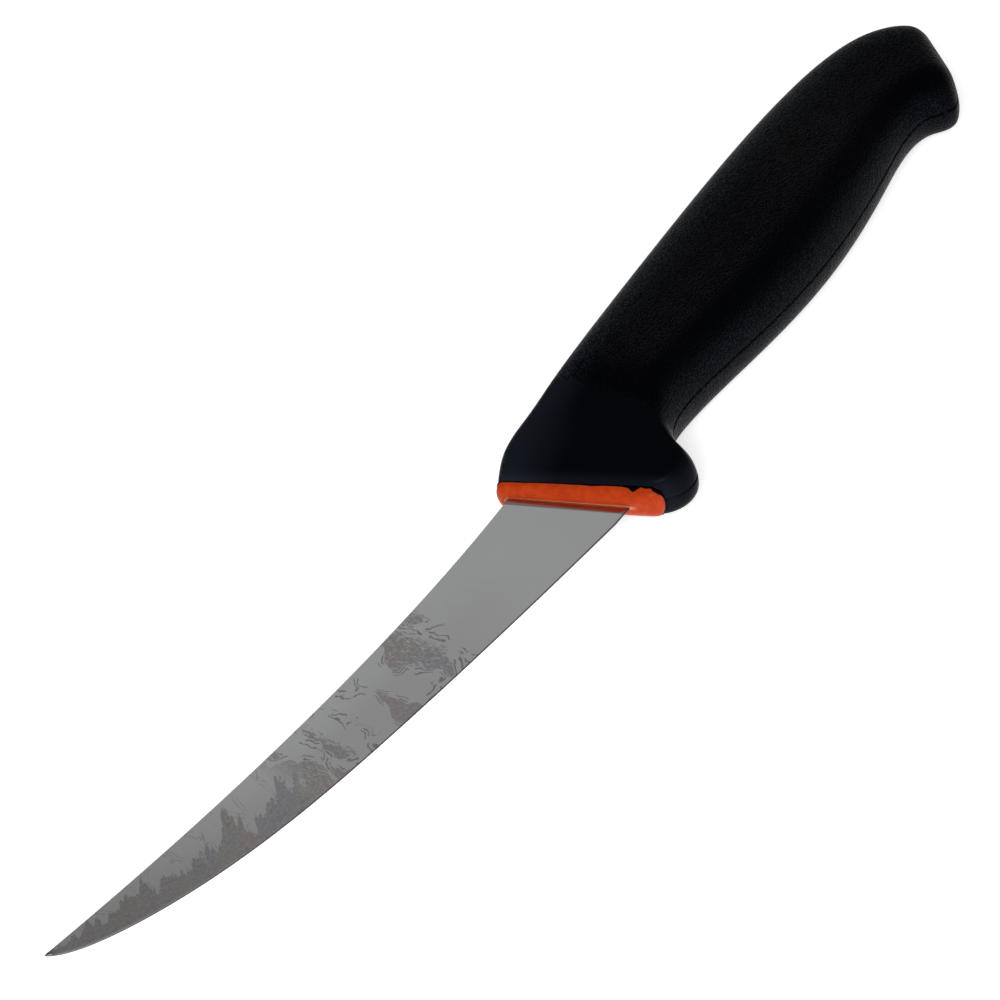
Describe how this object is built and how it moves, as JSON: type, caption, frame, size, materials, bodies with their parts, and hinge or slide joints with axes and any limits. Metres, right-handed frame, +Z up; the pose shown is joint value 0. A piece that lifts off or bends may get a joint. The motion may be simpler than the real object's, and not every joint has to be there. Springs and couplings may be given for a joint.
{
  "type": "boning knife",
  "caption": "Curved boning knife with a satin steel blade, an orange moulded collar and a soft black finger-guard grip.",
  "frame": {"origin": "middle of the knife's bounding box in plan, on the surface it lies on", "axes": "+X towards the blade's tip, +Y towards the cutting edge, +Z up, across the blade, with the knife lying on its side"},
  "size_m": [0.2833, 0.046, 0.02],
  "materials": {
    "blade_steel": "satin",
    "core_orange": "semi-gloss",
    "grip_black": "fine leather grain, smooth at the guard"
  },
  "bodies": {
    "root": {"blade": "blade_steel", "handle_core": "core_orange", "grip": "grip_black"}
  },
  "joints": []
}
